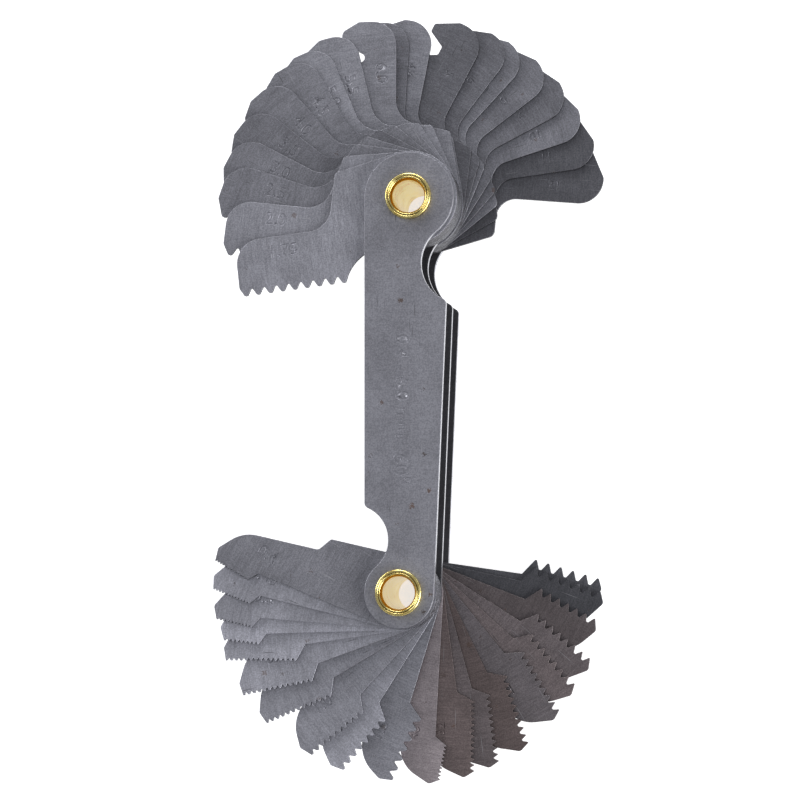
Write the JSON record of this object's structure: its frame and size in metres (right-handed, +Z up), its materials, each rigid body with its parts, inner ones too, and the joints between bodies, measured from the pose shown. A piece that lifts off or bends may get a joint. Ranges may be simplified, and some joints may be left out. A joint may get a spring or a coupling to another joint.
{
  "type": "thread pitch gauge",
  "caption": "Folding screw thread pitch gauge: fans of toothed steel leaves, metric and inch, turn on hollow brass rivets at the ends of a flat steel handle.",
  "frame": {"origin": "middle of the opened gauge in plan, at the height of the rear rivet rims it lies on", "axes": "+Z up, out of the front cover; +Y along the handle towards the coarse leaves; +X to the right seen from the front"},
  "size_m": [0.054, 0.1078, 0.0157],
  "materials": {
    "steel_cover": "satin, worn",
    "steel_metric": "fine brushed",
    "steel_inch": "fine brushed, darkened with age",
    "brass": "polished"
  },
  "bodies": {
    "handle": {"front_cover": "steel_cover", "middle_plate": "steel_cover", "rear_cover": "steel_cover", "coarse_eyelet": "brass", "fine_eyelet": "brass"},
    "leaf_1.75_mm": {"leaf_1.75_mm": "steel_metric"},
    "leaf_2.0_mm": {"leaf_2.0_mm": "steel_metric"},
    "leaf_2.5_mm": {"leaf_2.5_mm": "steel_metric"},
    "leaf_3.0_mm": {"leaf_3.0_mm": "steel_metric"},
    "leaf_3.5_mm": {"leaf_3.5_mm": "steel_metric"},
    "leaf_4.0_mm": {"leaf_4.0_mm": "steel_metric"},
    "leaf_4.5_mm": {"leaf_4.5_mm": "steel_metric"},
    "leaf_5.0_mm": {"leaf_5.0_mm": "steel_metric"},
    "leaf_5.5_mm": {"leaf_5.5_mm": "steel_metric"},
    "leaf_6.0_mm": {"leaf_6.0_mm": "steel_metric"},
    "leaf_4_tpi": {"leaf_4_tpi": "steel_inch"},
    "leaf_4.5_tpi": {"leaf_4.5_tpi": "steel_inch"},
    "leaf_5_tpi": {"leaf_5_tpi": "steel_inch"},
    "leaf_6_tpi": {"leaf_6_tpi": "steel_inch"},
    "leaf_7_tpi": {"leaf_7_tpi": "steel_inch"},
    "leaf_8_tpi": {"leaf_8_tpi": "steel_inch"},
    "leaf_9_tpi": {"leaf_9_tpi": "steel_inch"},
    "leaf_10_tpi": {"leaf_10_tpi": "steel_inch"},
    "leaf_11_tpi": {"leaf_11_tpi": "steel_inch"},
    "leaf_12_tpi": {"leaf_12_tpi": "steel_inch"},
    "leaf_0.4_mm": {"leaf_0.4_mm": "steel_metric"},
    "leaf_0.45_mm": {"leaf_0.45_mm": "steel_metric"},
    "leaf_0.5_mm": {"leaf_0.5_mm": "steel_metric"},
    "leaf_0.6_mm": {"leaf_0.6_mm": "steel_metric"},
    "leaf_0.7_mm": {"leaf_0.7_mm": "steel_metric"},
    "leaf_0.75_mm": {"leaf_0.75_mm": "steel_metric"},
    "leaf_0.8_mm": {"leaf_0.8_mm": "steel_metric"},
    "leaf_1.0_mm": {"leaf_1.0_mm": "steel_metric"},
    "leaf_1.25_mm": {"leaf_1.25_mm": "steel_metric"},
    "leaf_1.5_mm": {"leaf_1.5_mm": "steel_metric"},
    "leaf_48_tpi": {"leaf_48_tpi": "steel_inch"},
    "leaf_32_tpi": {"leaf_32_tpi": "steel_inch"},
    "leaf_28_tpi": {"leaf_28_tpi": "steel_inch"},
    "leaf_24_tpi": {"leaf_24_tpi": "steel_inch"},
    "leaf_22_tpi": {"leaf_22_tpi": "steel_inch"},
    "leaf_20_tpi": {"leaf_20_tpi": "steel_inch"},
    "leaf_19_tpi": {"leaf_19_tpi": "steel_inch"},
    "leaf_18_tpi": {"leaf_18_tpi": "steel_inch"},
    "leaf_16_tpi": {"leaf_16_tpi": "steel_inch"},
    "leaf_14_tpi": {"leaf_14_tpi": "steel_inch"}
  },
  "joints": [
    {"name": "pivot_1.75_mm", "type": "hinge", "parent": "handle", "child": "leaf_1.75_mm", "pos_m": [0.00093, 0.0272, 0], "axis": [0, 0, -1], "range_deg": [-63.4, 206.6]},
    {"name": "pivot_2.0_mm", "type": "hinge", "parent": "handle", "child": "leaf_2.0_mm", "pos_m": [0.00093, 0.0272, 0], "axis": [0, 0, -1], "range_deg": [-77.2, 192.8]},
    {"name": "pivot_2.5_mm", "type": "hinge", "parent": "handle", "child": "leaf_2.5_mm", "pos_m": [0.00093, 0.0272, 0], "axis": [0, 0, -1], "range_deg": [-89.1, 180.9]},
    {"name": "pivot_3.0_mm", "type": "hinge", "parent": "handle", "child": "leaf_3.0_mm", "pos_m": [0.00093, 0.0272, 0], "axis": [0, 0, -1], "range_deg": [-98.4, 171.6]},
    {"name": "pivot_3.5_mm", "type": "hinge", "parent": "handle", "child": "leaf_3.5_mm", "pos_m": [0.00093, 0.0272, 0], "axis": [0, 0, -1], "range_deg": [-108.9, 161.1]},
    {"name": "pivot_4.0_mm", "type": "hinge", "parent": "handle", "child": "leaf_4.0_mm", "pos_m": [0.00093, 0.0272, 0], "axis": [0, 0, -1], "range_deg": [-119.8, 150.2]},
    {"name": "pivot_4.5_mm", "type": "hinge", "parent": "handle", "child": "leaf_4.5_mm", "pos_m": [0.00093, 0.0272, 0], "axis": [0, 0, -1], "range_deg": [-131, 139]},
    {"name": "pivot_5.0_mm", "type": "hinge", "parent": "handle", "child": "leaf_5.0_mm", "pos_m": [0.00093, 0.0272, 0], "axis": [0, 0, -1], "range_deg": [-137.4, 132.6]},
    {"name": "pivot_5.5_mm", "type": "hinge", "parent": "handle", "child": "leaf_5.5_mm", "pos_m": [0.00093, 0.0272, 0], "axis": [0, 0, -1], "range_deg": [-146.6, 123.4]},
    {"name": "pivot_6.0_mm", "type": "hinge", "parent": "handle", "child": "leaf_6.0_mm", "pos_m": [0.00093, 0.0272, 0], "axis": [0, 0, -1], "range_deg": [-160.2, 109.8]},
    {"name": "pivot_4_tpi", "type": "hinge", "parent": "handle", "child": "leaf_4_tpi", "pos_m": [0.00093, 0.0272, 0], "axis": [0, 0, 1], "range_deg": [-196.3, 73.7]},
    {"name": "pivot_4.5_tpi", "type": "hinge", "parent": "handle", "child": "leaf_4.5_tpi", "pos_m": [0.00093, 0.0272, 0], "axis": [0, 0, 1], "range_deg": [-188.6, 81.4]},
    {"name": "pivot_5_tpi", "type": "hinge", "parent": "handle", "child": "leaf_5_tpi", "pos_m": [0.00093, 0.0272, 0], "axis": [0, 0, 1], "range_deg": [-171.7, 98.3]},
    {"name": "pivot_6_tpi", "type": "hinge", "parent": "handle", "child": "leaf_6_tpi", "pos_m": [0.00093, 0.0272, 0], "axis": [0, 0, 1], "range_deg": [-162.3, 107.7]},
    {"name": "pivot_7_tpi", "type": "hinge", "parent": "handle", "child": "leaf_7_tpi", "pos_m": [0.00093, 0.0272, 0], "axis": [0, 0, 1], "range_deg": [-156.6, 113.4]},
    {"name": "pivot_8_tpi", "type": "hinge", "parent": "handle", "child": "leaf_8_tpi", "pos_m": [0.00093, 0.0272, 0], "axis": [0, 0, 1], "range_deg": [-146.5, 123.5]},
    {"name": "pivot_9_tpi", "type": "hinge", "parent": "handle", "child": "leaf_9_tpi", "pos_m": [0.00093, 0.0272, 0], "axis": [0, 0, 1], "range_deg": [-136.8, 133.2]},
    {"name": "pivot_10_tpi", "type": "hinge", "parent": "handle", "child": "leaf_10_tpi", "pos_m": [0.00093, 0.0272, 0], "axis": [0, 0, 1], "range_deg": [-126.9, 143.1]},
    {"name": "pivot_11_tpi", "type": "hinge", "parent": "handle", "child": "leaf_11_tpi", "pos_m": [0.00093, 0.0272, 0], "axis": [0, 0, 1], "range_deg": [-116.6, 153.4]},
    {"name": "pivot_12_tpi", "type": "hinge", "parent": "handle", "child": "leaf_12_tpi", "pos_m": [0.00093, 0.0272, 0], "axis": [0, 0, 1], "range_deg": [-104.4, 165.6]},
    {"name": "pivot_0.4_mm", "type": "hinge", "parent": "handle", "child": "leaf_0.4_mm", "pos_m": [-0.00051, -0.02763, 0], "axis": [0, 0, 1], "range_deg": [-79.3, 190.7]},
    {"name": "pivot_0.45_mm", "type": "hinge", "parent": "handle", "child": "leaf_0.45_mm", "pos_m": [-0.00051, -0.02763, 0], "axis": [0, 0, 1], "range_deg": [-87.9, 182.1]},
    {"name": "pivot_0.5_mm", "type": "hinge", "parent": "handle", "child": "leaf_0.5_mm", "pos_m": [-0.00051, -0.02763, 0], "axis": [0, 0, 1], "range_deg": [-96.9, 173.1]},
    {"name": "pivot_0.6_mm", "type": "hinge", "parent": "handle", "child": "leaf_0.6_mm", "pos_m": [-0.00051, -0.02763, 0], "axis": [0, 0, 1], "range_deg": [-103.3, 166.7]},
    {"name": "pivot_0.7_mm", "type": "hinge", "parent": "handle", "child": "leaf_0.7_mm", "pos_m": [-0.00051, -0.02763, 0], "axis": [0, 0, 1], "range_deg": [-109.8, 160.2]},
    {"name": "pivot_0.75_mm", "type": "hinge", "parent": "handle", "child": "leaf_0.75_mm", "pos_m": [-0.00051, -0.02763, 0], "axis": [0, 0, 1], "range_deg": [-121.5, 148.5]},
    {"name": "pivot_0.8_mm", "type": "hinge", "parent": "handle", "child": "leaf_0.8_mm", "pos_m": [-0.00051, -0.02763, 0], "axis": [0, 0, 1], "range_deg": [-132.2, 137.8]},
    {"name": "pivot_1.0_mm", "type": "hinge", "parent": "handle", "child": "leaf_1.0_mm", "pos_m": [-0.00051, -0.02763, 0], "axis": [0, 0, 1], "range_deg": [-148.5, 121.5]},
    {"name": "pivot_1.25_mm", "type": "hinge", "parent": "handle", "child": "leaf_1.25_mm", "pos_m": [-0.00051, -0.02763, 0], "axis": [0, 0, 1], "range_deg": [-159.2, 110.8]},
    {"name": "pivot_1.5_mm", "type": "hinge", "parent": "handle", "child": "leaf_1.5_mm", "pos_m": [-0.00051, -0.02763, 0], "axis": [0, 0, 1], "range_deg": [-174.5, 95.5]},
    {"name": "pivot_48_tpi", "type": "hinge", "parent": "handle", "child": "leaf_48_tpi", "pos_m": [-0.00051, -0.02763, 0], "axis": [0, 0, -1], "range_deg": [-171.6, 98.4]},
    {"name": "pivot_32_tpi", "type": "hinge", "parent": "handle", "child": "leaf_32_tpi", "pos_m": [-0.00051, -0.02763, 0], "axis": [0, 0, -1], "range_deg": [-160.9, 109.1]},
    {"name": "pivot_28_tpi", "type": "hinge", "parent": "handle", "child": "leaf_28_tpi", "pos_m": [-0.00051, -0.02763, 0], "axis": [0, 0, -1], "range_deg": [-152.8, 117.2]},
    {"name": "pivot_24_tpi", "type": "hinge", "parent": "handle", "child": "leaf_24_tpi", "pos_m": [-0.00051, -0.02763, 0], "axis": [0, 0, -1], "range_deg": [-142.3, 127.7]},
    {"name": "pivot_22_tpi", "type": "hinge", "parent": "handle", "child": "leaf_22_tpi", "pos_m": [-0.00051, -0.02763, 0], "axis": [0, 0, -1], "range_deg": [-128.9, 141.1]},
    {"name": "pivot_20_tpi", "type": "hinge", "parent": "handle", "child": "leaf_20_tpi", "pos_m": [-0.00051, -0.02763, 0], "axis": [0, 0, -1], "range_deg": [-120, 150]},
    {"name": "pivot_19_tpi", "type": "hinge", "parent": "handle", "child": "leaf_19_tpi", "pos_m": [-0.00051, -0.02763, 0], "axis": [0, 0, -1], "range_deg": [-110.8, 159.2]},
    {"name": "pivot_18_tpi", "type": "hinge", "parent": "handle", "child": "leaf_18_tpi", "pos_m": [-0.00051, -0.02763, 0], "axis": [0, 0, -1], "range_deg": [-99.4, 170.6]},
    {"name": "pivot_16_tpi", "type": "hinge", "parent": "handle", "child": "leaf_16_tpi", "pos_m": [-0.00051, -0.02763, 0], "axis": [0, 0, -1], "range_deg": [-90.7, 179.3]},
    {"name": "pivot_14_tpi", "type": "hinge", "parent": "handle", "child": "leaf_14_tpi", "pos_m": [-0.00051, -0.02763, 0], "axis": [0, 0, -1], "range_deg": [-86.8, 183.2]}
  ]
}
